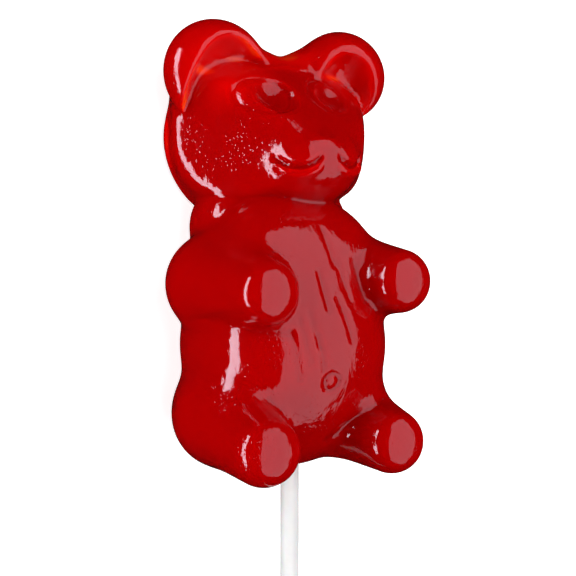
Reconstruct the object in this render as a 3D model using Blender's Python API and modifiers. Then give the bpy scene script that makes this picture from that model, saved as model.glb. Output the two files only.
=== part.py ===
"""A moulded fruit-gum bear on a rolled paper stick, lying on its flat back.

Frame: metres, +Z up.  The origin is on the flat back under the middle of the bear, +Y runs to the
ear tips, +X to the bear's left hand, and the belly and the face look up along +Z.

The bear is one casting.  Its form is a blend of named lobes: ellipsoids for the trunk, the head and
the ears, and tapered round limbs for the arms and the legs.  The head is cut by six planes: two
slopes from the brow to the nose, its two sides, and two more at the back and under the cheek on the
right.  The eyes and the ears are hollowed by ellipsoids.
Spheres at the lobes are joined and remeshed into one skin, and every point of that skin is then drawn
onto the blended form, with the nose, mouth and navel pressed in.  The stick stands in a blind bore.
"""
from collections import namedtuple
from math import cos, pi, radians, sin

import bmesh
import bpy
import numpy as np
from mathutils import Matrix, Vector

# ---------------------------------------------------------------- driving dimensions
BEAR_LENGTH = 0.0967                 # from the soles of the feet to the ear tips
UNIT = BEAR_LENGTH / 96.7            # the lobes below are in this unit, 1 mm at the design length

STICK_RADIUS = 0.0020
STICK_LENGTH = 0.152
STICK_TOP = 0.0135                   # how far up the bear the hidden end reaches, along Y
STICK_HEIGHT = 0.0185                # of the stick's axis above the flat back
STICK_EDGE = 0.00025                 # rounding of the stick's ends
STICK_SIDES = 32
FIT_GAP = 0.0003                     # between the paper and the candy

BACK_ROUNDING = 2.0                  # of the rim where the back was scraped flat, in units
SKIN_ROUGH = 1.7                     # voxel of the first skin, in units
SKIN_FINE = 0.85                     # voxel of the second skin, in units
TRIANGLES = 8600                     # left on the bear after the skin is thinned

GUM_RED = (0.42, 0.002, 0.004, 1.0)
PAPER_WHITE = (0.86, 0.86, 0.84, 1.0)

# ---------------------------------------------------------------- the lobes, in units
# A lobe is an ellipsoid.  A square number above 2 makes the back half of its section across the
# bear boxier, and a full number above 2 does so for the front half.  Blend is the width of the
# fillet where it meets the lobes before it.
Lobe = namedtuple("Lobe", "name centre radii blend square full", defaults=(2.0, 2.0))
# A facet is a plane that cuts the head: a place on it and the way it faces.
Facet = namedtuple("Facet", "name place yaw pitch blend")
# A limb is two balls of unlike size and the cone that joins them; those of the arms and the legs
# have their tips cut blunt.
Limb = namedtuple("Limb", "name root tip root_radius tip_radius blend")

SKULLS = [
    Lobe("skull", (-0.2, 23.0, 6.0), (23.2, 17.0, 21.5), 5.0, 4.0, 4.0),
    Lobe("crown", (-0.9, 27.6, 6.0), (22.1, 13.4, 18.5), 5.0, 3.0, 3.0),
]
# the forehead and the eyes lie on two slopes that meet above the nose
SLOPES = [
    Facet("slope_right", (0.6, 31.0, 23.8), radians(-15.0), radians(43.0), 4.0),
    Facet("slope_left", (0.6, 31.2, 23.8), radians(10.0), radians(42.0), 4.0),
]
CHEEKS = Lobe("cheeks", (-0.2, 18.7, 6.5), (21.7, 10.5, 21.5), 3.5, 3.0, 2.0)
# the two flat sides of the head lean in towards the muzzle, and its right side turns in again at
# the back and under the cheek
SIDES = [
    Facet("side_right", (-14.2, 24.0, 17.0), radians(-50.0), radians(-3.0), 3.5),
    Facet("back_right", (-22.0, 24.0, 6.5), radians(-113.0), 0.0, 2.0),
    Facet("jaw_right", (-21.4, 17.0, 5.5), radians(-113.0), radians(-27.0), 4.0),
    Facet("side_left", (19.8, 26.0, 17.0), radians(62.0), radians(-4.0), 4.0),
]
MUZZLE = Lobe("muzzle", (3.0, 17.5, 18.0), (10.2, 9.4, 13.3), 4.5, 2.0, 2.9)
# the hollows of the eyes
SOCKETS = [
    Lobe("socket_right", (-6.0, 34.4, 25.3), (6.9, 6.9, 6.9), 0.6),
    Lobe("socket_left", (8.9, 34.9, 25.5), (6.3, 6.3, 6.3), 0.6),
]
TRUNK = [
    Lobe("neck", (0.3, 4.0, 10.2), (18.2, 14.0, 11.2), 1.2, 2.6, 2.3),
    Lobe("chest", (0.0, -5.0, 14.5), (19.5, 17.0, 16.8), 2.0, 2.6, 3.4),
    Lobe("belly", (-0.1, -21.0, 16.5), (21.3, 22.0, 19.2), 5.0, 2.7, 2.4),
    Lobe("rump", (0.2, -31.0, 15.0), (18.9, 16.2, 16.5), 4.0, 2.4, 2.2),
]
# the thin rim of candy that spread at the back of the mould, round the head and the neck
FLASH = Lobe("flash", (0.0, 23.4, 1.8), (21.4, 18.6, 3.2), 1.8, 2.3, 2.3)
EARS = [
    Lobe("ear_right", (-13.7, 36.5, 11.0), (12.0, 11.5, 7.6), 1.8),
    Lobe("ear_left", (17.2, 38.0, 12.7), (10.8, 10.0, 7.8), 1.8),
]
HIPS = [
    Lobe("hip_right", (-14.4, -35.2, 16.0), (9.5, 11.2, 15.5), 5.0),
    Lobe("hip_left", (12.2, -34.0, 16.0), (9.8, 11.0, 15.5), 5.0),
]
# the ear roots fill the top of the head between the ears, sloping down to a notch
EAR_ROOTS = [
    Limb("ear_root_right", (-8.6, 38.3, 9.0), (3.5, 34.4, 9.5), 6.6, 6.2, 2.0),
    Limb("ear_root_left", (13.0, 38.8, 10.5), (2.5, 34.4, 10.0), 6.6, 6.2, 2.0),
]
LIMBS = [
    Limb("arm_right", (-15.3, -8.2, 14.5), (-15.8, -10.0, 34.0), 11.0, 6.8, 4.2),
    Limb("arm_left", (16.0, -6.2, 15.0), (17.6, -7.6, 33.6), 9.6, 6.8, 4.0),
    Limb("leg_right", (-15.2, -36.0, 16.0), (-15.7, -41.4, 33.6), 9.8, 7.3, 4.0),
    Limb("leg_left", (13.8, -36.2, 16.0), (15.6, -41.2, 33.8), 9.2, 6.8, 3.5),
]
# the hollows of the ears, deepest where the ear meets the head
DISHES = [
    Lobe("dish_right", (-11.5, 1.9, 58.4), (24.5, 60.0, 60.0), 1.2),
    Lobe("dish_left", (14.8, 28.0, 26.5), (9.6, 17.0, 15.0), 2.0),
]

BLUNT_FACING = radians(-5.0)         # the blunt tips of arms and legs face a little to the right
BLUNT_CUT = 0.8                      # how much of the round tip is flattened
BLUNT_BLEND = 4.5

FACE_LEAN = radians(3.5)             # the face is cast a little askew, its left side higher
EYE_HEIGHT = 31.4                    # the level about which the face leans
# each half of the smile runs between two places on the face, and sags between them
SMILES = [
    ((-8.6, 18.0), (-0.7, 17.8), 1.9),
    ((3.3, 17.6), (11.6, 17.6), 1.7),
]
MOUTH_WIDTH = 0.75
MOUTH_DEPTH = 1.1
LIP_DROP = 1.6                       # from the groove down to the crest of the lip
LIP_WIDTH = 0.9
LIP_HEIGHT = 0.7
NOSE = (1.2, 21.2)
NOSE_RADII = (2.8, 1.5)
NOSE_HEIGHT = 0.7                    # the nose is a low bump
NAVEL = (0.0, -28.2)
NAVEL_RING = 1.7                     # radius of the round groove
NAVEL_WIDTH = 0.55
NAVEL_DEPTH = 0.5
DETAIL_LOW, DETAIL_HIGH = 12.0, 16.0  # heights between which the pressed detail fades in
LIMB_BALLS = 7                       # balls laid along a limb before the first skin


# ---------------------------------------------------------------- the blended form
def lobe_distance(points, lobe):
    """Signed distance from a lobe, close to true near its surface."""
    local = (points - np.array(lobe.centre)) / np.array(lobe.radii)
    power = np.where(local[:, 2] > 0.0, lobe.full, lobe.square)
    side = np.maximum(np.abs(local[:, 0]), 1e-6)
    front = np.maximum(np.abs(local[:, 2]), 1e-6)
    section = (side ** power + front ** power) ** (1.0 / power)
    size = np.hypot(section, local[:, 1])
    share = section / size * section ** (1.0 - power)
    slope = np.stack([share * side ** (power - 1.0) / lobe.radii[0],
                      local[:, 1] / size / lobe.radii[1],
                      share * front ** (power - 1.0) / lobe.radii[2]], axis=1)
    return (size - 1.0) / np.maximum(np.linalg.norm(slope, axis=1), 1e-6)


def round_cone(points, limb):
    """Signed distance from a limb: two balls of unlike size and the cone that joins them."""
    root, tip = np.array(limb.root), np.array(limb.tip)
    along = tip - root
    length2 = along @ along
    shrink = limb.root_radius - limb.tip_radius
    slope2 = length2 - shrink * shrink
    local = points - root
    run = local @ along
    beyond = run - length2
    across = local * length2 - np.outer(run, along)
    side2 = (across * across).sum(axis=1)
    run2 = run * run * length2
    beyond2 = beyond * beyond * length2
    k = np.sign(shrink) * shrink * shrink * side2
    past_tip = np.sign(beyond) * slope2 * beyond2 > k
    before_root = np.sign(run) * slope2 * run2 < k
    wall = (np.sqrt(side2 * slope2 / length2) + run * shrink) / length2 - limb.root_radius
    wall = np.where(before_root, np.sqrt(side2 + run2) / length2 - limb.root_radius, wall)
    return np.where(past_tip, np.sqrt(side2 + beyond2) / length2 - limb.tip_radius, wall)


def limb_form(points, limb):
    """A limb with its tip flattened, as the bottom of a mould leaves it."""
    facing = np.array((sin(BLUNT_FACING), 0.0, cos(BLUNT_FACING)))
    flat = (points - np.array(limb.tip)) @ facing - (limb.tip_radius - BLUNT_CUT)
    return smooth_max(round_cone(points, limb), flat, BLUNT_BLEND)


def smooth_min(a, b, width):
    """The lower of two distances, with a fillet of the given width between them."""
    h = np.maximum(width - np.abs(a - b), 0.0) / width
    return np.minimum(a, b) - h * h * h * width / 6.0


def smooth_max(a, b, width):
    return -smooth_min(-a, -b, width)


def smooth_step(low, high, value):
    t = np.clip((value - low) / (high - low), 0.0, 1.0)
    return t * t * (3.0 - 2.0 * t)


def face_point(x, y):
    """A place on the face, turned with the lean of the head about the middle of the eyes."""
    c, s = cos(FACE_LEAN), sin(FACE_LEAN)
    dy = y - EYE_HEIGHT
    return c * x - s * dy, EYE_HEIGHT + s * x + c * dy


def ring(points, centre, radius, width, depth):
    """A round groove seen from the front."""
    away = np.hypot(points[:, 0] - centre[0], points[:, 1] - centre[1])
    return depth * np.exp(-((away - radius) / width) ** 2)


def dot(points, centre, radii, height):
    """A soft oval bump (or, with a negative height, a dimple) seen from the front."""
    away2 = ((points[:, 0] - centre[0]) / radii[0]) ** 2 + ((points[:, 1] - centre[1]) / radii[1]) ** 2
    return -height * np.exp(-away2)


def smile(points, start, end, sag):
    """Half of the mouth: a groove that sags between two places on the face, over a raised lip."""
    start, end = face_point(*start), face_point(*end)
    t = (points[:, 0] - start[0]) / (end[0] - start[0])
    line = start[1] + (end[1] - start[1]) * t - sag * np.sin(pi * np.clip(t, 0.0, 1.0))
    inside = smooth_step(-0.06, 0.10, t) * (1.0 - smooth_step(0.90, 1.06, t))
    below = line - points[:, 1]
    groove = MOUTH_DEPTH * np.exp(-(below / MOUTH_WIDTH) ** 2)
    lip = LIP_HEIGHT * np.exp(-((below - LIP_DROP) / LIP_WIDTH) ** 2)
    return inside * (groove - lip)


def pressed_detail(points):
    """How much deeper the surface lies for the features of the face and the navel."""
    detail = np.zeros(len(points))
    for start, end, sag in SMILES:
        detail += smile(points, start, end, sag)
    detail += dot(points, face_point(*NOSE), NOSE_RADII, NOSE_HEIGHT)
    detail += ring(points, NAVEL, NAVEL_RING, NAVEL_WIDTH, NAVEL_DEPTH)
    return detail * smooth_step(DETAIL_LOW, DETAIL_HIGH, points[:, 2])


def facet_distance(points, facet):
    """Distance in front of the plane of a facet."""
    level = cos(facet.pitch)
    facing = np.array((sin(facet.yaw) * level, sin(facet.pitch), cos(facet.yaw) * level))
    return (points - np.array(facet.place)) @ facing


def head_form(points):
    head = smooth_min(*[lobe_distance(points, lobe) for lobe in SKULLS], SKULLS[0].blend)
    for slope in SLOPES:
        head = smooth_max(head, facet_distance(points, slope), slope.blend)
    head = smooth_min(head, lobe_distance(points, CHEEKS), CHEEKS.blend)
    for side in SIDES:
        head = smooth_max(head, facet_distance(points, side), side.blend)
    head = smooth_min(head, lobe_distance(points, MUZZLE), MUZZLE.blend)
    for socket in SOCKETS:
        head = smooth_max(head, -lobe_distance(points, socket), socket.blend)
    return head


def bear_form(points):
    """Signed distance from the bear's surface, in units; below zero is candy."""
    form = head_form(points)
    for lobe in TRUNK + HIPS:
        form = smooth_min(form, lobe_distance(points, lobe), lobe.blend)
    for limb in LIMBS:
        form = smooth_min(form, limb_form(points, limb), limb.blend)
    for ear, root, dish in zip(EARS, EAR_ROOTS, DISHES):
        cup = smooth_min(lobe_distance(points, ear), round_cone(points, root), root.blend)
        cup = smooth_max(cup, -lobe_distance(points, dish), dish.blend)
        form = smooth_min(form, cup, ear.blend)
    form = smooth_min(form, lobe_distance(points, FLASH), FLASH.blend)
    form = form + pressed_detail(points)
    return smooth_max(form, -points[:, 2], BACK_ROUNDING)


# ---------------------------------------------------------------- from the form to a mesh
def new_object(name, mesh, collection):
    thing = bpy.data.objects.new(name, mesh)
    collection.objects.link(thing)
    return thing


def evaluated_mesh(thing):
    """A new mesh of an object with its modifiers applied."""
    bpy.context.view_layer.update()
    depsgraph = bpy.context.evaluated_depsgraph_get()
    return bpy.data.meshes.new_from_object(thing.evaluated_get(depsgraph))


def apply_modifiers(thing):
    mesh = evaluated_mesh(thing)
    thing.modifiers.clear()
    thing.data = mesh


def add_ball(bm, centre, radii):
    place = Matrix.LocRotScale(Vector(centre) * UNIT, None, Vector(radii) * UNIT)
    bmesh.ops.create_uvsphere(bm, u_segments=32, v_segments=20, radius=1.0, matrix=place)


def ball_skeleton():
    """Every lobe as a ball, and each limb as a row of balls from its root to its tip."""
    bm = bmesh.new()
    for lobe in SKULLS + [CHEEKS, MUZZLE, FLASH] + TRUNK + EARS + HIPS:
        add_ball(bm, lobe.centre, lobe.radii)
    for limb in EAR_ROOTS + LIMBS:
        for i in range(LIMB_BALLS):
            t = i / (LIMB_BALLS - 1)
            centre = Vector(limb.root).lerp(Vector(limb.tip), t)
            radius = limb.root_radius + (limb.tip_radius - limb.root_radius) * t
            add_ball(bm, centre, (radius, radius, radius))
    mesh = bpy.data.meshes.new("bear_balls")
    bm.to_mesh(mesh)
    bm.free()
    return mesh


def read_points(mesh):
    flat = np.empty(3 * len(mesh.vertices), dtype=np.float64)
    mesh.vertices.foreach_get("co", flat)
    return flat.reshape(-1, 3) / UNIT


def write_points(mesh, points):
    mesh.vertices.foreach_set("co", (points * UNIT).ravel())
    mesh.update()


def draw_onto_form(points, steps=4, reach=1.2):
    """Move each point along the form's slope until it lies on the surface."""
    nudge = 0.02
    for _ in range(steps):
        depth = bear_form(points)
        slope = np.empty_like(points)
        for axis in range(3):
            shift = np.zeros(3)
            shift[axis] = nudge
            slope[:, axis] = (bear_form(points + shift) - bear_form(points - shift)) / (2.0 * nudge)
        step = depth / np.maximum((slope * slope).sum(axis=1), 0.05)
        points = points - slope * np.clip(step, -reach, reach)[:, None]
    return points


def even_out(points, edges, share=0.5):
    """Pull each point part of the way to the middle of its neighbours."""
    count = np.bincount(edges.ravel(), minlength=len(points))
    middle = np.empty_like(points)
    for axis in range(3):
        total = np.bincount(edges[:, 0], points[edges[:, 1], axis], len(points))
        total += np.bincount(edges[:, 1], points[edges[:, 0], axis], len(points))
        middle[:, axis] = total / count
    return points + share * (middle - points)


def settle(mesh, rounds):
    edges = np.empty(2 * len(mesh.edges), dtype=np.int64)
    mesh.edges.foreach_get("vertices", edges)
    edges = edges.reshape(-1, 2)
    points = read_points(mesh)
    for _ in range(rounds):
        points = draw_onto_form(even_out(points, edges))
    on_back = np.abs(points[:, 2]) < 0.02
    points[on_back, 2] = 0.0
    write_points(mesh, points)


def remesh(thing, voxel):
    skin = thing.modifiers.new("skin", "REMESH")
    skin.mode = "VOXEL"
    skin.voxel_size = voxel * UNIT
    apply_modifiers(thing)


def thin(thing, triangles):
    fan = bmesh.new()
    fan.from_mesh(thing.data)
    bmesh.ops.triangulate(fan, faces=fan.faces)
    fan.to_mesh(thing.data)
    fan.free()
    fewer = thing.modifiers.new("thin", "DECIMATE")
    fewer.decimate_type = "COLLAPSE"
    fewer.ratio = triangles / len(thing.data.polygons)
    apply_modifiers(thing)


def plain_material(name, colour, roughness):
    material = bpy.data.materials.new(name)
    material.use_nodes = True
    shader = material.node_tree.nodes["Principled BSDF"]
    shader.inputs["Base Color"].default_value = colour
    shader.inputs["Roughness"].default_value = roughness
    shader.inputs["Metallic"].default_value = 0.0
    material.diffuse_color = colour
    return material


def rod(name, radius, start, end, edge, collection):
    """A round rod along Y from start to end, with its rims rounded by edge."""
    bm = bmesh.new()
    bmesh.ops.create_cone(bm, segments=STICK_SIDES, radius1=radius, radius2=radius,
                          depth=end - start, cap_ends=True)
    bmesh.ops.rotate(bm, verts=bm.verts, matrix=Matrix.Rotation(-pi / 2.0, 3, "X"))
    mesh = bpy.data.meshes.new(name)
    bm.to_mesh(mesh)
    bm.free()
    thing = new_object(name, mesh, collection)
    thing.location = (0.0, (start + end) / 2.0, STICK_HEIGHT)
    if edge:
        bevel = thing.modifiers.new("rim", "BEVEL")
        bevel.width = edge
        bevel.segments = 2
        bevel.limit_method = "ANGLE"
        bevel.angle_limit = radians(60.0)
    return thing


def build_bear(parts, cutters):
    bear = new_object("gummy_bear", ball_skeleton(), parts)
    for voxel, rounds in ((SKIN_ROUGH, 3), (SKIN_FINE, 6)):
        remesh(bear, voxel)
        settle(bear.data, rounds)
    thin(bear, TRIANGLES)
    bore = rod("stick_bore", STICK_RADIUS + FIT_GAP, STICK_TOP - STICK_LENGTH,
               STICK_TOP + FIT_GAP, 0.0, cutters)
    bore.hide_render = True
    bore.display_type = "WIRE"
    cut = bear.modifiers.new("bore", "BOOLEAN")
    cut.operation = "DIFFERENCE"
    cut.solver = "EXACT"
    cut.object = bore
    bear.data.materials.clear()
    bear.data.materials.append(plain_material("gum_red", GUM_RED, 0.08))
    bear.data.shade_smooth()
    bear.data.set_sharp_from_angle(angle=radians(50.0))
    return bear


def build_stick(parts):
    stick = rod("paper_stick", STICK_RADIUS, STICK_TOP - STICK_LENGTH, STICK_TOP, STICK_EDGE, parts)
    stick.data.materials.append(plain_material("stick_paper", PAPER_WHITE, 0.6))
    stick.data.shade_smooth()
    stick.data.set_sharp_from_angle(angle=radians(40.0))
    return stick


def main():
    for thing in list(bpy.data.objects):
        bpy.data.objects.remove(thing)
    parts = bpy.data.collections.new("gummy_bear_on_stick")
    cutters = bpy.data.collections.new("cutters")
    for collection in (parts, cutters):
        bpy.context.scene.collection.children.link(collection)
    build_bear(parts, cutters)
    build_stick(parts)


main()
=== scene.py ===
# %% [markdown]
# # A gummy bear on a paper stick
#
# The real sweet is one thick casting of red fruit gum on a rolled paper stick.  Hot gum is poured
# into an open mould, the stick is laid in it, and the back sets flat, with a thin rim of flash
# where the gum crept over the mould's edge.  It lies on that flat back, its face and belly up.
#
# Loading the frame comes first: it holds the plain solids of the bear and of the stick.  The bear's
# scale and the stick's sizes are measured from them, so the dressed pieces follow if they change.

# %% Load the frame
from collections import namedtuple
from math import cos, pi, radians, sin

import bmesh
import bpy
import numpy as np
from mathutils import Matrix, Vector


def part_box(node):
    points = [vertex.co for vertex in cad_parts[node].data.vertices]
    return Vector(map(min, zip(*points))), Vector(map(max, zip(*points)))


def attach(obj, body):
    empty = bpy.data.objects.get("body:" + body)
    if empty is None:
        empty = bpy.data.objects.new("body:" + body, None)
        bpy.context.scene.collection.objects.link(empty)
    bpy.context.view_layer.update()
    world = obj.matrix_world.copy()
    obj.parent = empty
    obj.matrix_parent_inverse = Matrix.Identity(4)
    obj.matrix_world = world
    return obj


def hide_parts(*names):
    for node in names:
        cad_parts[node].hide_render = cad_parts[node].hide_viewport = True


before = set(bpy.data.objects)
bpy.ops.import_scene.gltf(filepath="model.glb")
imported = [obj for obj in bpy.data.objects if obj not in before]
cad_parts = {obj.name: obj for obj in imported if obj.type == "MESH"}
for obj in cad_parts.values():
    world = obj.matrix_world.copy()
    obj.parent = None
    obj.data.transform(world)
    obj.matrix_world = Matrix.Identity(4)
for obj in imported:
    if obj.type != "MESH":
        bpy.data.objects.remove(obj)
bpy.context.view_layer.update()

# %% [markdown]
# ## Sizes
#
# The bear is worked out in units of a set share of its length, which is 1 mm here, and the stick in
# the sizes of its own solid.  A design drawn in such units can be scaled by one number, and its parts
# always keep their proportions.

# %% Measure the bear and the stick
bear_low, bear_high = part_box("gummy_bear")
stick_low, stick_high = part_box("paper_stick")
UNITS_LONG = 96.68
UNIT = (bear_high.y - bear_low.y) / UNITS_LONG
STICK_RADIUS = (stick_high.x - stick_low.x) / 2.0
STICK_CENTRE = (stick_low + stick_high) / 2.0
print("one unit is", round(UNIT * 1000, 4), "mm; the stick is", round(STICK_RADIUS * 2000, 2), "mm thick")

# %% [markdown]
# ## The lobes of the bear
#
# A mould for a soft sweet is carved from a few round volumes that flow into each other: a skull, a
# pair of cheeks, a chest, a belly, hips, ears and four stubby limbs.  Box modelling would leave
# edges to hide, and sculpting can't be written down.  So the bear is a list of named lobes, each
# with its place, its radii and the width of the fillet where it joins the ones before it.

# %% Name the lobes and the limbs
Lobe = namedtuple("Lobe", "name centre radii blend square full", defaults=(2.0, 2.0))
Limb = namedtuple("Limb", "name root tip root_radius tip_radius blend")
Facet = namedtuple("Facet", "name place yaw pitch blend")

SKULLS = [
    Lobe("skull", (-0.2, 23.0, 6.0), (23.2, 17.0, 21.5), 5.0, 4.0, 4.0),
    Lobe("crown", (-0.9, 27.6, 6.0), (22.1, 13.4, 18.5), 5.0, 3.0, 3.0),
]
CHEEKS = Lobe("cheeks", (-0.2, 18.7, 6.5), (21.7, 10.5, 21.5), 3.5, 3.0, 2.0)
MUZZLE = Lobe("muzzle", (3.0, 17.5, 18.0), (10.2, 9.4, 13.3), 4.5, 2.0, 2.9)
TRUNK = [
    Lobe("neck", (0.3, 4.0, 10.2), (18.2, 14.0, 11.2), 1.2, 2.6, 2.3),
    Lobe("chest", (0.0, -5.0, 14.5), (19.5, 17.0, 16.8), 2.0, 2.6, 3.4),
    Lobe("belly", (-0.1, -21.0, 16.5), (21.3, 22.0, 19.2), 5.0, 2.7, 2.4),
    Lobe("rump", (0.2, -31.0, 15.0), (18.9, 16.2, 16.5), 4.0, 2.4, 2.2),
]
HIPS = [
    Lobe("hip_right", (-14.4, -35.2, 16.0), (9.5, 11.2, 15.5), 5.0),
    Lobe("hip_left", (12.2, -34.0, 16.0), (9.8, 11.0, 15.5), 5.0),
]
EARS = [
    Lobe("ear_right", (-13.7, 36.5, 11.0), (12.0, 11.5, 7.6), 1.8),
    Lobe("ear_left", (17.2, 38.0, 12.7), (10.8, 10.0, 7.8), 1.8),
]
FLASH = Lobe("flash", (0.0, 23.4, 1.8), (21.4, 18.6, 3.2), 1.8, 2.3, 2.3)
ALL_LOBES = SKULLS + [CHEEKS, MUZZLE, FLASH] + TRUNK + HIPS + EARS
print(len(ALL_LOBES), "lobes")

# %% [markdown]
# ## The limbs
#
# An arm or a leg is a tapered round peg: a ball at its root, a smaller one at its tip and the cone
# between.  Two such pegs also fill the top of the head between the ears, where a row of separate
# balls would leave waists.

# %% Name the limbs
EAR_ROOTS = [
    Limb("ear_root_right", (-8.6, 38.3, 9.0), (3.5, 34.4, 9.5), 6.6, 6.2, 2.0),
    Limb("ear_root_left", (13.0, 38.8, 10.5), (2.5, 34.4, 10.0), 6.6, 6.2, 2.0),
]
LIMBS = [
    Limb("arm_right", (-15.3, -8.2, 14.5), (-15.8, -10.0, 34.0), 11.0, 6.8, 4.2),
    Limb("arm_left", (16.0, -6.2, 15.0), (17.6, -7.6, 33.6), 9.6, 6.8, 4.0),
    Limb("leg_right", (-15.2, -36.0, 16.0), (-15.7, -41.4, 33.6), 9.8, 7.3, 4.0),
    Limb("leg_left", (13.8, -36.2, 16.0), (15.6, -41.2, 33.8), 9.2, 6.8, 3.5),
]
print(len(LIMBS), "limbs and", len(EAR_ROOTS), "ear roots")

# %% [markdown]
# ## What is cut from the lobes
#
# A mould maker flattens the sides of the head with a plane and slopes the face from the brow to the
# nose, then hollows the ears and the eyes with a round tool.  The same cuts are made here: six
# planes across the head, two of them sloping down the face, and an ellipsoid taken out of each ear
# and each eye.  The paws are cut blunt, as the flat bottom of a mould's pocket leaves them.

# %% Name the cuts
SLOPES = [
    Facet("slope_right", (0.6, 31.0, 23.8), radians(-15.0), radians(43.0), 4.0),
    Facet("slope_left", (0.6, 31.2, 23.8), radians(10.0), radians(42.0), 4.0),
]
SIDES = [
    Facet("side_right", (-14.2, 24.0, 17.0), radians(-50.0), radians(-3.0), 3.5),
    Facet("back_right", (-22.0, 24.0, 6.5), radians(-113.0), 0.0, 2.0),
    Facet("jaw_right", (-21.4, 17.0, 5.5), radians(-113.0), radians(-27.0), 4.0),
    Facet("side_left", (19.8, 26.0, 17.0), radians(62.0), radians(-4.0), 4.0),
]
SOCKETS = [
    Lobe("socket_right", (-6.0, 34.4, 25.3), (6.9, 6.9, 6.9), 0.6),
    Lobe("socket_left", (8.9, 34.9, 25.5), (6.3, 6.3, 6.3), 0.6),
]
DISHES = [
    Lobe("dish_right", (-11.5, 1.9, 58.4), (24.5, 60.0, 60.0), 1.2),
    Lobe("dish_left", (14.8, 28.0, 26.5), (9.6, 17.0, 15.0), 2.0),
]
BACK_ROUNDING = 2.0
BLUNT_FACING = radians(-5.0)
BLUNT_CUT = 0.8
BLUNT_BLEND = 4.5
print(len(SLOPES + SIDES), "planes and", len(SOCKETS + DISHES), "hollows")

# %% [markdown]
# ## Distances that blend
#
# Each lobe answers one question for any point in space: how far away is your surface?  Taking the
# lowest answer joins the lobes, and a smooth lowest puts a fillet between them, as melted gum does.
# Taking the highest answer with the sign turned cuts one form from another.  Blender's metaballs
# work alike, but their fillets can't be set joint by joint.

# %% Distance to one lobe, one limb and one plane
def lobe_distance(points, lobe):
    local = (points - np.array(lobe.centre)) / np.array(lobe.radii)
    power = np.where(local[:, 2] > 0.0, lobe.full, lobe.square)
    side = np.maximum(np.abs(local[:, 0]), 1e-6)
    front = np.maximum(np.abs(local[:, 2]), 1e-6)
    section = (side ** power + front ** power) ** (1.0 / power)
    size = np.hypot(section, local[:, 1])
    share = section / size * section ** (1.0 - power)
    slope = np.stack([share * side ** (power - 1.0) / lobe.radii[0],
                      local[:, 1] / size / lobe.radii[1],
                      share * front ** (power - 1.0) / lobe.radii[2]], axis=1)
    return (size - 1.0) / np.maximum(np.linalg.norm(slope, axis=1), 1e-6)


def limb_distance(points, limb):
    root, tip = np.array(limb.root), np.array(limb.tip)
    along = tip - root
    length2 = along @ along
    shrink = limb.root_radius - limb.tip_radius
    slope2 = length2 - shrink * shrink
    local = points - root
    run = local @ along
    beyond = run - length2
    across = local * length2 - np.outer(run, along)
    side2 = (across * across).sum(axis=1)
    run2 = run * run * length2
    beyond2 = beyond * beyond * length2
    k = np.sign(shrink) * shrink * shrink * side2
    past_tip = np.sign(beyond) * slope2 * beyond2 > k
    before_root = np.sign(run) * slope2 * run2 < k
    wall = (np.sqrt(side2 * slope2 / length2) + run * shrink) / length2 - limb.root_radius
    wall = np.where(before_root, np.sqrt(side2 + run2) / length2 - limb.root_radius, wall)
    return np.where(past_tip, np.sqrt(side2 + beyond2) / length2 - limb.tip_radius, wall)


def facet_distance(points, facet):
    level = cos(facet.pitch)
    facing = np.array((sin(facet.yaw) * level, sin(facet.pitch), cos(facet.yaw) * level))
    return (points - np.array(facet.place)) @ facing


probe = np.array([SKULLS[0].centre])
print("the skull's middle is", round(float(-lobe_distance(probe, SKULLS[0])[0]), 1), "units deep")

# %% [markdown]
# ## Fillets
#
# Two distances that meet leave a sharp crease.  Melted gum has none, so the lower of the two is
# lowered a little more where they are nearly equal, which fills the corner with a fillet.

# %% Fillets and soft steps
def smooth_min(a, b, width):
    h = np.maximum(width - np.abs(a - b), 0.0) / width
    return np.minimum(a, b) - h * h * h * width / 6.0


def smooth_max(a, b, width):
    return -smooth_min(-a, -b, width)


def smooth_step(low, high, value):
    t = np.clip((value - low) / (high - low), 0.0, 1.0)
    return t * t * (3.0 - 2.0 * t)


print("a 4-unit fillet fills", round(float(-smooth_min(0.0, 0.0, 4.0)), 2), "units of a corner")

# %% [markdown]
# ## The face and the folds
#
# The mouth, the nose and the navel are pressed into the mould, and the gum keeps soft folds where
# it cooled against it: under an arm, along the thighs, and down the belly like drapery.  A faint
# ridge runs along the brow.  Each is a shallow line or dot drawn on the front of the bear and pushed
# in or out by a bell curve, which is how a rounded tool marks clay.

# %% Rings, dots and lines seen from the front
FACE_LEAN = radians(3.5)
EYE_HEIGHT = 31.4


def face_point(x, y):
    c, s = cos(FACE_LEAN), sin(FACE_LEAN)
    dy = y - EYE_HEIGHT
    return c * x - s * dy, EYE_HEIGHT + s * x + c * dy


def ring(points, centre, radius, width, depth):
    away = np.hypot(points[:, 0] - centre[0], points[:, 1] - centre[1])
    return depth * np.exp(-((away - radius) / width) ** 2)


def oval(points, centre, radii, width, depth):
    """An oval groove seen from the front."""
    away = np.hypot((points[:, 0] - centre[0]) / radii[0], (points[:, 1] - centre[1]) / radii[1])
    return depth * np.exp(-((away - 1.0) * (radii[0] + radii[1]) / 2.0 / width) ** 2)


def dot(points, centre, radii, height):
    away2 = ((points[:, 0] - centre[0]) / radii[0]) ** 2 + ((points[:, 1] - centre[1]) / radii[1]) ** 2
    return -height * np.exp(-away2)


def trail(points, path, width, depth):
    """A groove along a path of (across, up the bear) points."""
    nearest = np.full(len(points), 1e9)
    for start, end in zip(path[:-1], path[1:]):
        start, run = np.array(start), np.subtract(end, start)
        t = np.clip((points[:, :2] - start) @ run / (run @ run), 0.0, 1.0)
        gap = points[:, :2] - start - t[:, None] * run
        nearest = np.minimum(nearest, (gap * gap).sum(axis=1))
    return depth * np.exp(-nearest / width ** 2)


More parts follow.
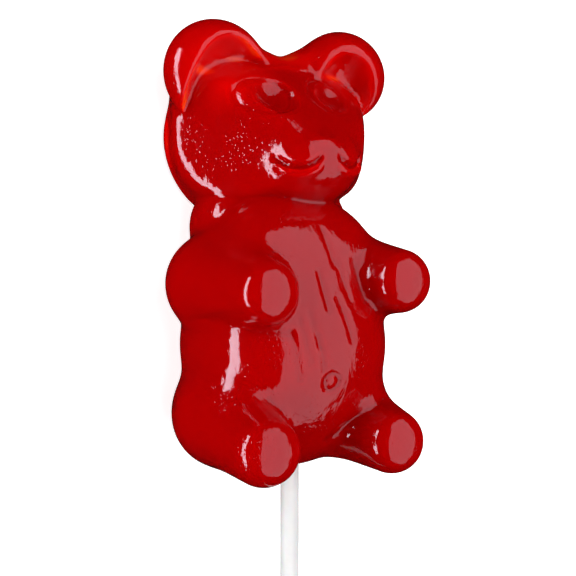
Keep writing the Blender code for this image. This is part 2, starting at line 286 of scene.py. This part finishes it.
def smile(points, start, end, sag):
    start, end = face_point(*start), face_point(*end)
    t = (points[:, 0] - start[0]) / (end[0] - start[0])
    line = start[1] + (end[1] - start[1]) * t - sag * np.sin(pi * np.clip(t, 0.0, 1.0))
    inside = smooth_step(-0.06, 0.10, t) * (1.0 - smooth_step(0.90, 1.06, t))
    below = line - points[:, 1]
    groove = MOUTH_DEPTH * np.exp(-(below / MOUTH_WIDTH) ** 2)
    lip = LIP_HEIGHT * np.exp(-((below - LIP_DROP) / LIP_WIDTH) ** 2)
    return inside * (groove - lip)


print("the face leans", round(FACE_LEAN * 180 / pi, 1), "degrees")

# %% [markdown]
# ## Where the features lie
#
# Each half of the smile is a groove over a raised lip, because the tool that pressed it pushed some
# of the clay down ahead of it.  The folds are lists of places, so one can be moved by itself.

# %% Place the mouth, the nose, the navel and the folds
SMILES = [
    ((-8.6, 18.0), (-0.7, 17.8), 1.9),
    ((3.3, 17.6), (11.6, 17.6), 1.7),
]
MOUTH_WIDTH = 0.75
MOUTH_DEPTH = 1.1
LIP_DROP = 1.6
LIP_WIDTH = 0.9
LIP_HEIGHT = 0.7
NOSE = (1.2, 21.2)
NOSE_RADII = (2.8, 1.5)
NOSE_HEIGHT = 0.7
NAVEL = (0.0, -28.2)
NAVEL_RING = 1.7
NAVEL_WIDTH = 0.55
NAVEL_DEPTH = 0.5
DETAIL_LOW, DETAIL_HIGH = 12.0, 16.0
# each eye is rimmed by a shallow oval groove
EYE_RIMS = [((-7.3, 31.0), (6.0, 3.9)), ((7.6, 32.0), (4.4, 3.7))]
RIM_WIDTH, RIM_DEPTH = 0.6, 0.32
BELLY_FOLDS = [
    ((-1.3, -5.8), (-0.7, -13.2)), ((3.6, -3.6), (5.2, -11.6)), ((2.2, -11.6), (4.4, -19.8)),
    ((-5.3, -14.0), (-3.6, -21.0)), ((8.0, -3.6), (9.6, -11.5)), ((-3.6, -18.7), (-2.2, -25.8)),
    ((-7.6, -15.6), (-5.2, -24.0)), ((-9.4, -18.0), (-7.4, -27.5)), ((1.0, 3.0), (2.6, -4.5)),
]
CREASES = [
    ((-13.0, -32.0), (-10.5, -34.0), (-8.5, -37.5), (-6.5, -40.6)),
    ((14.6, -33.0), (10.6, -35.2), (6.8, -37.5), (3.4, -40.7)),
    ((-22.0, -15.0), (-16.0, -17.6), (-10.0, -18.4)),
]
BROW = ((-5.5, 37.4), (0.0, 38.6), (5.5, 38.2))
FOLDS = [(path, 0.7, 0.26) for path in BELLY_FOLDS]
FOLDS += [(path, 1.1, 0.45) for path in CREASES]
FOLDS.append((BROW, 0.5, -0.18))


def pressed_detail(points):
    detail = np.zeros(len(points))
    for start, end, sag in SMILES:
        detail += smile(points, start, end, sag)
    detail += dot(points, face_point(*NOSE), NOSE_RADII, NOSE_HEIGHT)
    detail += ring(points, NAVEL, NAVEL_RING, NAVEL_WIDTH, NAVEL_DEPTH)
    for centre, radii in EYE_RIMS:
        detail += oval(points, centre, radii, RIM_WIDTH, RIM_DEPTH)
    for path, width, depth in FOLDS:
        detail += trail(points, path, width, depth)
    return detail * smooth_step(DETAIL_LOW, DETAIL_HIGH, points[:, 2])


print(len(BELLY_FOLDS), "folds on the belly,", len(CREASES), "creases and a brow ridge")

# %% [markdown]
# ## The whole bear as one distance
#
# The order matters, as at a workbench: the head is joined and planed before the trunk is added, the
# ears are hollowed before they are joined, and the flat back is cut last of all.

# %% Join and cut the lobes
def limb_form(points, limb):
    facing = np.array((sin(BLUNT_FACING), 0.0, cos(BLUNT_FACING)))
    flat = (points - np.array(limb.tip)) @ facing - (limb.tip_radius - BLUNT_CUT)
    return smooth_max(limb_distance(points, limb), flat, BLUNT_BLEND)


def head_form(points):
    head = smooth_min(*[lobe_distance(points, lobe) for lobe in SKULLS], SKULLS[0].blend)
    for slope in SLOPES:
        head = smooth_max(head, facet_distance(points, slope), slope.blend)
    head = smooth_min(head, lobe_distance(points, CHEEKS), CHEEKS.blend)
    for side in SIDES:
        head = smooth_max(head, facet_distance(points, side), side.blend)
    head = smooth_min(head, lobe_distance(points, MUZZLE), MUZZLE.blend)
    for socket in SOCKETS:
        head = smooth_max(head, -lobe_distance(points, socket), socket.blend)
    return head


def bear_form(points):
    form = head_form(points)
    for lobe in TRUNK + HIPS:
        form = smooth_min(form, lobe_distance(points, lobe), lobe.blend)
    for limb in LIMBS:
        form = smooth_min(form, limb_form(points, limb), limb.blend)
    for ear, root, dish in zip(EARS, EAR_ROOTS, DISHES):
        cup = smooth_min(lobe_distance(points, ear), limb_distance(points, root), root.blend)
        cup = smooth_max(cup, -lobe_distance(points, dish), dish.blend)
        form = smooth_min(form, cup, ear.blend)
    form = smooth_min(form, lobe_distance(points, FLASH), FLASH.blend)
    form = form + pressed_detail(points)
    return smooth_max(form, -points[:, 2], BACK_ROUNDING)


middle = np.array([[0.0, -10.0, 15.0]])
print("the bear's middle is", round(float(-bear_form(middle)[0]), 1), "units deep")

# %% [markdown]
# ## From balls to one skin
#
# A distance has no faces, so it needs a mesh to live on.  Plain spheres stand where the lobes are,
# Blender's voxel Remesh joins them into one closed skin, and each point of the skin is then drawn
# onto the blended form.  Doing it coarse first and fine afterwards keeps the points evenly spread.

# %% Spheres for the lobes
def add_ball(bm, centre, radii):
    place = Matrix.LocRotScale(Vector(centre) * UNIT, None, Vector(radii) * UNIT)
    bmesh.ops.create_uvsphere(bm, u_segments=32, v_segments=20, radius=1.0, matrix=place)


def ball_skeleton():
    bm = bmesh.new()
    for lobe in ALL_LOBES:
        add_ball(bm, lobe.centre, lobe.radii)
    balls = 7
    for limb in EAR_ROOTS + LIMBS:
        for i in range(balls):
            t = i / (balls - 1)
            radius = limb.root_radius + (limb.tip_radius - limb.root_radius) * t
            add_ball(bm, Vector(limb.root).lerp(Vector(limb.tip), t), (radius, radius, radius))
    mesh = bpy.data.meshes.new("gum_balls")
    bm.to_mesh(mesh)
    bm.free()
    return mesh


gum = bpy.data.objects.new("gum_casting", ball_skeleton())
bpy.context.scene.collection.objects.link(gum)
print("the balls have", len(gum.data.vertices), "points")

# %% [markdown]
# ## Drawing points onto the form
#
# The distance at a point says how far to go, and its slope says which way.  Stepping that far along
# the slope a few times lands the point on the surface, as a file stops at the line.

# %% Draw the points onto the form
def read_points(mesh):
    flat = np.empty(3 * len(mesh.vertices), dtype=np.float64)
    mesh.vertices.foreach_get("co", flat)
    return flat.reshape(-1, 3) / UNIT


def write_points(mesh, points):
    mesh.vertices.foreach_set("co", (points * UNIT).ravel())
    mesh.update()


def form_slope(points, depth, nudge=0.02):
    slope = np.empty_like(points)
    for axis in range(3):
        shift = np.zeros(3)
        shift[axis] = nudge
        slope[:, axis] = (bear_form(points + shift) - depth) / nudge
    return slope


def draw_onto_form(points, steps=3, reach=1.2):
    for _ in range(steps):
        depth = bear_form(points)
        slope = form_slope(points, depth)
        step = depth / np.maximum((slope * slope).sum(axis=1), 0.05)
        points = points - slope * np.clip(step, -reach, reach)[:, None]
    return points


stray = np.array([[0.0, -21.0, 36.5]])
print("a stray point ends", round(float(abs(bear_form(draw_onto_form(stray))[0])), 4), "units from the form")

# %% [markdown]
# ## Keeping the points apart
#
# Points that only slide onto a form bunch up in its hollows.  Pulling each towards the middle of its
# neighbours before every draw spreads them, and leaves the form itself unchanged.

# %% Spread the points evenly
def even_out(points, edges, share=0.5):
    count = np.bincount(edges.ravel(), minlength=len(points))
    centre = np.empty_like(points)
    for axis in range(3):
        total = np.bincount(edges[:, 0], points[edges[:, 1], axis], len(points))
        total += np.bincount(edges[:, 1], points[edges[:, 0], axis], len(points))
        centre[:, axis] = total / count
    return points + share * (centre - points)


def settle(mesh, rounds, steps):
    edges = np.empty(2 * len(mesh.edges), dtype=np.int64)
    mesh.edges.foreach_get("vertices", edges)
    edges = edges.reshape(-1, 2)
    points = read_points(mesh)
    for _ in range(rounds):
        points = draw_onto_form(even_out(points, edges), steps)
    on_back = np.abs(points[:, 2]) < 0.02
    points[on_back, 2] = 0.0
    write_points(mesh, points)


def apply_modifiers(thing):
    bpy.context.view_layer.update()
    depsgraph = bpy.context.evaluated_depsgraph_get()
    mesh = bpy.data.meshes.new_from_object(thing.evaluated_get(depsgraph))
    thing.modifiers.clear()
    thing.data = mesh


def remesh(thing, voxel):
    skin = thing.modifiers.new("skin", "REMESH")
    skin.mode = "VOXEL"
    skin.voxel_size = voxel * UNIT
    apply_modifiers(thing)


print("the balls have", len(gum.data.edges), "edges to even out")

# %% [markdown]
# ## Three skins, each finer
#
# The coarse skin finds the form quickly.  Each finer one starts from a skin that already lies on it,
# so it has little way to go, and only the last carries the small folds.

# %% Skin the bear, coarse to fine
SKIN_VOXELS = (1.7, 0.85, 0.5)
for voxel, rounds, steps in zip(SKIN_VOXELS, (3, 4, 3), (4, 3, 2)):
    remesh(gum, voxel)
    settle(gum.data, rounds, steps)
    print("at", voxel, "units the skin has", len(gum.data.vertices), "points")

# %% [markdown]
# ## Painted glow where light comes through
#
# Fruit gum is clear but deeply coloured: dark red where it is thick, and orange where light has only
# a few millimetres to cross, as at the roots of the ears.  That orange glow is painted into the gum's
# colour here.  Looking inwards from each point and asking the form whether there is still gum there
# gives the thickness, which is stored on the mesh as a value from 0 (thick) to 1 (thin) for the
# material to turn into painted glow.  A few soft spots of painted glow, listed one by one, are added
# round the ears and in the notch between them, which the thickness doesn't reach.

# %% Store how thin the gum is, and the painted glow spots
# a soft spot of painted glow: where it lies, how wide and how strong
PaintedGlow = namedtuple("PaintedGlow", "name centre radii strength")
PAINTED_GLOWS = [
    PaintedGlow("notch", (2.5, 41.0, 9.0), (9.5, 5.0, 10.0), 0.85),
    PaintedGlow("ear_base_right", (-18.0, 36.6, 13.0), (5.5, 2.0, 6.0), 0.8),
    PaintedGlow("ear_crease_right", (-10.0, 39.6, 13.0), (5.0, 1.3, 6.0), 0.8),
    PaintedGlow("ear_base_left", (13.5, 37.0, 15.0), (6.0, 1.6, 6.0), 0.8),
    PaintedGlow("ear_end_left", (20.8, 31.5, 12.0), (3.0, 5.5, 7.0), 0.8),
    PaintedGlow("ear_hollow_right", (-14.0, 38.0, 14.0), (12.0, 10.0, 12.0), 0.58),
    PaintedGlow("ear_hollow_left", (17.0, 38.5, 14.0), (10.0, 10.0, 12.0), 0.48),
]


def thinness(mesh, looks=(2.5, 4.5, 6.5, 9.0, 12.0)):
    points = read_points(mesh)
    normals = np.empty(3 * len(mesh.vertices), dtype=np.float64)
    mesh.vertices.foreach_get("normal", normals)
    normals = normals.reshape(-1, 3)
    empty = np.zeros(len(points))
    for look in looks:
        empty += smooth_step(-2.0, 1.5, bear_form(points - normals * look))
    painted_glow = empty / len(looks)
    # the spots of painted glow are raised into the thinness
    for spot in PAINTED_GLOWS:
        away = (points - np.array(spot.centre)) / np.array(spot.radii)
        painted_glow = np.maximum(painted_glow, spot.strength * np.exp(-(away * away).sum(axis=1)))
    return painted_glow


# the attribute holds the thinness and the painted glow spots, which the gum turns into painted glow
thin = gum.data.attributes.new("thin", "FLOAT", "POINT")
values = thinness(gum.data)
thin.data.foreach_set("value", values.astype(np.float32))
print("the gum glows up to", round(float(values.max()), 2), "and", round(float(values.mean()), 2), "on average")

# %% [markdown]
# ## The bore of the stick
#
# The gum sets tight round the paper.  A rod a hair thinner than the stick is cut out of the casting
# with a Boolean, so the paper just reaches into the wall of its bore and no gap shows.

# %% Cut the bore
TIGHT = 0.00002


def rod(name, radius, start, end, sides=64):
    bm = bmesh.new()
    bmesh.ops.create_cone(bm, segments=sides, radius1=radius, radius2=radius,
                          depth=end - start, cap_ends=True)
    bmesh.ops.rotate(bm, verts=bm.verts, matrix=Matrix.Rotation(-pi / 2.0, 3, "X"))
    mesh = bpy.data.meshes.new(name)
    bm.to_mesh(mesh)
    bm.free()
    thing = bpy.data.objects.new(name, mesh)
    bpy.context.scene.collection.objects.link(thing)
    thing.location = (STICK_CENTRE.x, (start + end) / 2.0, STICK_CENTRE.z)
    return thing


bore = rod("bore", STICK_RADIUS - TIGHT, stick_low.y, stick_high.y)
cut = gum.modifiers.new("bore", "BOOLEAN")
cut.operation = "DIFFERENCE"
cut.solver = "EXACT"
cut.object = bore
apply_modifiers(gum)
bpy.data.objects.remove(bore)
gum.data.shade_smooth()
print("the casting has", len(gum.data.polygons), "faces")

# %% [markdown]
# ## The paper stick
#
# A sweet's stick is a strip of white paper rolled tight into a rod.  A smooth cylinder would look
# like plastic, so the rod is turned from rings whose radius rises and falls a little, the edge of
# the strip winds round it as a very low step, and its rims are softened by the cutter.

# %% Roll the stick
STICK_RINGS = 300
STICK_SIDES = 48
RIM = 0.00025
SEAM_STEP = 0.00003
SEAM_PITCH = 0.030


def stick_mesh():
    length = stick_high.y - stick_low.y
    bm = bmesh.new()
    rings = []
    for i in range(STICK_RINGS + 1):
        y = stick_low.y + length * i / STICK_RINGS
        near_end = min(y - stick_low.y, stick_high.y - y)
        inset = RIM - (RIM ** 2 - max(RIM - near_end, 0.0) ** 2) ** 0.5
        circle = []
        for j in range(STICK_SIDES):
            turn = 2.0 * pi * j / STICK_SIDES
            wound = (turn / (2.0 * pi) + y / SEAM_PITCH) % 1.0
            radius = STICK_RADIUS - inset - SEAM_STEP * wound
            circle.append(bm.verts.new((STICK_CENTRE.x + radius * cos(turn), y,
                                        STICK_CENTRE.z + radius * sin(turn))))
        rings.append(circle)
    for lower, upper in zip(rings[:-1], rings[1:]):
        for j in range(STICK_SIDES):
            k = (j + 1) % STICK_SIDES
            bm.faces.new((lower[j], upper[j], upper[k], lower[k]))
    bm.faces.new(rings[0])
    bm.faces.new(tuple(reversed(rings[-1])))
    bmesh.ops.recalc_face_normals(bm, faces=bm.faces)
    mesh = bpy.data.meshes.new("rolled_paper")
    bm.to_mesh(mesh)
    bm.free()
    mesh.shade_smooth()
    mesh.set_sharp_from_angle(angle=radians(50.0))
    return mesh


paper = bpy.data.objects.new("rolled_paper", stick_mesh())
bpy.context.scene.collection.objects.link(paper)
print("the stick has", len(paper.data.polygons), "faces")

# %% [markdown]
# ## Cast unevenness, shared by gum and paper
#
# Nothing made by hand has one even colour.  Both materials want a slow change of tone over a few
# millimetres, so that is one node group with its own size and contrast, placed in each material.

# %% Build the shared node group
def unevenness_group():
    group = bpy.data.node_groups.new("slow_unevenness", "ShaderNodeTree")
    group.interface.new_socket("Size", in_out="INPUT", socket_type="NodeSocketFloat")
    group.interface.new_socket("Low", in_out="INPUT", socket_type="NodeSocketFloat")
    group.interface.new_socket("High", in_out="INPUT", socket_type="NodeSocketFloat")
    group.interface.new_socket("Tone", in_out="OUTPUT", socket_type="NodeSocketFloat")
    nodes, links = group.nodes, group.links
    inside = nodes.new("NodeGroupInput")
    outside = nodes.new("NodeGroupOutput")
    place = nodes.new("ShaderNodeTexCoord")
    noise = nodes.new("ShaderNodeTexNoise")
    noise.inputs["Detail"].default_value = 3.0
    spread = nodes.new("ShaderNodeMapRange")
    spread.inputs["From Min"].default_value = 0.3
    spread.inputs["From Max"].default_value = 0.7
    links.new(place.outputs["Object"], noise.inputs["Vector"])
    links.new(inside.outputs["Size"], noise.inputs["Scale"])
    links.new(noise.outputs["Fac"], spread.inputs["Value"])
    links.new(inside.outputs["Low"], spread.inputs["To Min"])
    links.new(inside.outputs["High"], spread.inputs["To Max"])
    links.new(spread.outputs["Result"], outside.inputs["Tone"])
    return group


UNEVEN = unevenness_group()


def add_node(nodes, kind, **values):
    node = nodes.new(kind)
    for name, value in values.items():
        node.inputs[name.replace("_", " ")].default_value = value
    return node


def tone_of(nodes, size, low, high):
    """The group placed in a material with its own size and contrast."""
    tone = add_node(nodes, "ShaderNodeGroup")
    tone.node_tree = UNEVEN
    for name, value in (("Size", size), ("Low", low), ("High", high)):
        tone.inputs[name].default_value = value
    return tone


print("the group puts out", [s.name for s in UNEVEN.interface.items_tree if s.in_out == "OUTPUT"])

# %% [markdown]
# ## Fruit gum
#
# Gum is lit from inside: light goes in, wanders and comes out red.  Subsurface scattering does that
# in one shader, where glass with a coloured volume would be slow and grainy.  Over it lies a wet
# gloss, a little violet, broken by fine pits where bubbles met the mould.  The stored thinness and
# its glow spots paint the red from deep to an orange painted glow, on top of the scattering.

# %% Mix the gum
GUM_DEEP = (0.385, 0.0001, 0.0005, 1.0)
# the middle and thin stops are painted glow: the orange of light shining through thin gum
GUM_MIDDLE_GLOW_PAINT = (0.66, 0.0008, 0.0008, 1.0)
GUM_THIN_GLOW_PAINT = (1.0, 0.060, 0.0020, 1.0)
GUM_GLOSS = (0.05, 0.09)
GLOSS_TINT = (0.88, 0.86, 1.0, 1.0)


def gum_material():
    material = bpy.data.materials.new("fruit_gum")
    material.use_nodes = True
    nodes, links = material.node_tree.nodes, material.node_tree.links
    shader = nodes["Principled BSDF"]
    gloss = tone_of(nodes, 160.0, *GUM_GLOSS)
    links.new(gloss.outputs["Tone"], shader.inputs["Roughness"])
    shader.inputs["IOR"].default_value = 1.46
    shader.inputs["Specular Tint"].default_value = GLOSS_TINT
    shader.inputs["Subsurface Weight"].default_value = 1.0
    shader.inputs["Subsurface Radius"].default_value = (1.0, 0.06, 0.04)
    shader.inputs["Subsurface Scale"].default_value = 0.006
    # the thinness and its glow spots pick the painted glow from the ramp
    thinness_value = nodes.new("ShaderNodeAttribute")
    thinness_value.attribute_name = "thin"
    colour = nodes.new("ShaderNodeValToRGB")
    stops = colour.color_ramp.elements
    stops[0].position, stops[0].color = 0.15, GUM_DEEP
    stops[1].position, stops[1].color = 0.90, GUM_THIN_GLOW_PAINT
    stops.new(0.6).color = GUM_MIDDLE_GLOW_PAINT
    links.new(thinness_value.outputs["Fac"], colour.inputs["Fac"])
    links.new(colour.outputs["Color"], shader.inputs["Base Color"])
    pits = add_pits(nodes, links)
    links.new(pits.outputs["Normal"], shader.inputs["Normal"])
    return material


def add_pits(nodes, links):
    place = nodes.new("ShaderNodeTexCoord")
    specks = add_node(nodes, "ShaderNodeTexVoronoi", Scale=1300.0)
    speck = add_node(nodes, "ShaderNodeMapRange", From_Min=0.0, From_Max=0.28)
    grain = add_node(nodes, "ShaderNodeTexNoise", Scale=260.0, Detail=4.0)
    patches = tone_of(nodes, 110.0, -0.6, 1.0)
    patches_only = nodes.new("ShaderNodeClamp")
    speck_here = nodes.new("ShaderNodeMath")
    speck_here.operation = "MULTIPLY"
    height = nodes.new("ShaderNodeMath")
    height.operation = "MULTIPLY_ADD"
    height.inputs[1].default_value = 0.8
    drape = nodes.new("ShaderNodeMapping")
    drape.inputs["Scale"].default_value = (1.0, 0.3, 1.0)
    waves = add_node(nodes, "ShaderNodeTexNoise", Scale=330.0, Detail=2.0, Distortion=0.6)
    wavy = add_node(nodes, "ShaderNodeBump", Strength=0.3, Distance=0.00035)
    bump = add_node(nodes, "ShaderNodeBump", Strength=0.45, Distance=0.0002)
    links.new(place.outputs["Object"], drape.inputs["Vector"])
    links.new(drape.outputs["Vector"], waves.inputs["Vector"])
    links.new(waves.outputs["Fac"], wavy.inputs["Height"])
    links.new(wavy.outputs["Normal"], bump.inputs["Normal"])
    links.new(place.outputs["Object"], specks.inputs["Vector"])
    links.new(place.outputs["Object"], grain.inputs["Vector"])
    links.new(specks.outputs["Distance"], speck.inputs["Value"])
    links.new(patches.outputs["Tone"], patches_only.inputs["Value"])
    links.new(speck.outputs["Result"], speck_here.inputs[0])
    links.new(patches_only.outputs["Result"], speck_here.inputs[1])
    links.new(speck_here.outputs["Value"], height.inputs[0])
    links.new(grain.outputs["Fac"], height.inputs[2])
    links.new(height.outputs["Value"], bump.inputs["Height"])
    return bump


gum.data.materials.clear()
gum.data.materials.append(gum_material())
print("the gum's gloss has a roughness from", GUM_GLOSS[0], "to", GUM_GLOSS[1])

# %% [markdown]
# ## Paper
#
# The stick's paper is white, matt and a little fibrous.  Its tone wanders along the roll, and a
# fine bump of stretched noise stands for the fibres.

# %% Mix the paper
PAPER_LOW, PAPER_HIGH = 0.68, 0.74


def paper_material():
    material = bpy.data.materials.new("stick_paper")
    material.use_nodes = True
    nodes, links = material.node_tree.nodes, material.node_tree.links
    shader = nodes["Principled BSDF"]
    shader.inputs["Roughness"].default_value = 0.55
    shader.inputs["Subsurface Weight"].default_value = 0.2
    shader.inputs["Subsurface Scale"].default_value = 0.0006
    tone = tone_of(nodes, 220.0, PAPER_LOW, PAPER_HIGH)
    colour = nodes.new("ShaderNodeCombineColor")
    for channel in ("Red", "Green", "Blue"):
        links.new(tone.outputs["Tone"], colour.inputs[channel])
    links.new(colour.outputs["Color"], shader.inputs["Base Color"])
    place = nodes.new("ShaderNodeTexCoord")
    stretch = nodes.new("ShaderNodeMapping")
    stretch.inputs["Scale"].default_value = (1.0, 0.12, 1.0)
    fibres = add_node(nodes, "ShaderNodeTexNoise", Scale=5200.0, Detail=3.0)
    bump = add_node(nodes, "ShaderNodeBump", Strength=0.25, Distance=0.00004)
    links.new(place.outputs["Object"], stretch.inputs["Vector"])
    links.new(stretch.outputs["Vector"], fibres.inputs["Vector"])
    links.new(fibres.outputs["Fac"], bump.inputs["Height"])
    links.new(bump.outputs["Normal"], shader.inputs["Normal"])
    return material


paper.data.materials.append(paper_material())
print("the paper's tone runs from", PAPER_LOW, "to", PAPER_HIGH)

# %% [markdown]
# ## Put the pieces on the frame
#
# The casting and the rolled paper stand for the two plain solids: each is hung from the frame's root,
# and the plain solid it stands for is hidden.

# %% Ride and replace
for piece, node, finish in ((gum, "gummy_bear", "gum"), (paper, "paper_stick", "paper")):
    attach(piece, "root")
    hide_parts(node)
    print(piece.name, "stands for", node)

# %% [markdown]
# ## Floor
#
# A white sheet that glows a little, as a lit table in a product studio does.  Gum is a mirror at its
# edges, and a bright sheet this close would wash its sides out, so the sheet is left out of what the
# gloss mirrors and of the light that bounces onto the bear.

# %% Lay the white sheet
def floor_material():
    material = bpy.data.materials.new("white_sheet")
    material.use_nodes = True
    nodes, links = material.node_tree.nodes, material.node_tree.links
    shader = nodes["Principled BSDF"]
    shader.inputs["Roughness"].default_value = 0.9
    shader.inputs["Specular IOR Level"].default_value = 0.0
    grain = add_node(nodes, "ShaderNodeTexNoise", Scale=30.0)
    tone = add_node(nodes, "ShaderNodeMapRange", To_Min=0.86, To_Max=0.90)
    colour = nodes.new("ShaderNodeCombineColor")
    links.new(grain.outputs["Fac"], tone.inputs["Value"])
    for channel in ("Red", "Green", "Blue"):
        links.new(tone.outputs["Result"], colour.inputs[channel])
    links.new(colour.outputs["Color"], shader.inputs["Base Color"])
    shader.inputs["Emission Color"].default_value = (1.0, 1.0, 1.0, 1.0)
    shader.inputs["Emission Strength"].default_value = SHEET_GLOW
    return material


SHEET_GLOW = 0.8
FLOOR_SIZE = 4.0
bm = bmesh.new()
bmesh.ops.create_grid(bm, x_segments=1, y_segments=1, size=FLOOR_SIZE / 2.0)
floor_mesh = bpy.data.meshes.new("white_sheet")
bm.to_mesh(floor_mesh)
bm.free()
floor = bpy.data.objects.new("white_sheet", floor_mesh)
floor.location.z = -0.0001
bpy.context.scene.collection.objects.link(floor)
floor.data.materials.append(floor_material())
floor.visible_glossy = False
floor.visible_diffuse = False
print("the sheet is", FLOOR_SIZE, "m wide")

# %% [markdown]
# ## Light
#
# One very large soft box, a little to the bear's left, gives the broad pale reflection down the
# belly, and a tall narrow strip low on its right draws the thin bright lines.  A weak fill box lifts
# the whole bear and leaves no reflection of its own.  The rest of the room is dark.

# %% Hang the lights
AIM = Vector((0.0, 0.0, STICK_CENTRE.z))


def soft_light(name, yaw, shift, distance, width, height, radiance):
    """A flat lamp that faces the bear from a direction turned by yaw from straight above."""
    data = bpy.data.lights.new(name, "AREA")
    data.shape = "RECTANGLE"
    data.size = width
    data.size_y = height
    data.energy = radiance * pi * width * height
    lamp = bpy.data.objects.new(name, data)
    direction = Vector((sin(yaw), 0.0, cos(yaw)))
    lamp.location = AIM + direction * distance + Vector((0.0, shift, 0.0))
    across = Vector((cos(yaw), 0.0, -sin(yaw)))
    turn = Matrix((across, Vector((0.0, 1.0, 0.0)), direction)).transposed()
    lamp.rotation_euler = turn.to_euler()
    lamp.visible_camera = False
    bpy.context.scene.collection.objects.link(lamp)
    return lamp


soft_light("soft_box", radians(18.0), -0.03, 0.6, 0.78, 1.8, 1.7)
fill = soft_light("fill_box", radians(20.0), 0.25, 0.6, 1.0, 1.2, 0.7)
fill.visible_glossy = False
soft_light("strip_box", radians(-88.0), 0.0, 0.6, 0.17, 1.1, 13.0)
world = bpy.data.worlds.new("dark_room")
world.use_nodes = True
world.node_tree.nodes["Background"].inputs["Color"].default_value = (0.004, 0.004, 0.004, 1.0)
bpy.context.scene.world = world
print("three soft lamps hang round the sweet")

# %% [markdown]
# ## Camera
#
# The camera looks down on the lying sweet, turned towards its right side, and is level with the
# waist, as if the sweet were held upright in front of it.

# %% Place the camera
CAMERA_YAW = radians(32.5)
CAMERA_DISTANCE = 0.300
CAMERA_HEIGHT = -0.0091
PICTURE_WIDTH = 0.1228

right = Vector((cos(CAMERA_YAW), 0.0, sin(CAMERA_YAW)))
ahead = Vector((sin(CAMERA_YAW), 0.0, -cos(CAMERA_YAW)))
up = Vector((0.0, 1.0, 0.0))
target = Vector((0.0, CAMERA_HEIGHT, STICK_CENTRE.z)) - right * 0.00032
lens = bpy.data.cameras.new("camera")
lens.sensor_width = 36.0
lens.lens = lens.sensor_width * CAMERA_DISTANCE / PICTURE_WIDTH
lens.clip_start = 0.01
camera = bpy.data.objects.new("camera", lens)
place = Matrix((right, up, -ahead)).transposed().to_4x4()
place.translation = target - ahead * CAMERA_DISTANCE
camera.matrix_world = place
bpy.context.scene.collection.objects.link(camera)
bpy.context.scene.camera = camera
bpy.context.scene.view_settings.view_transform = "Standard"
print("the lens is", round(lens.lens, 1), "mm")
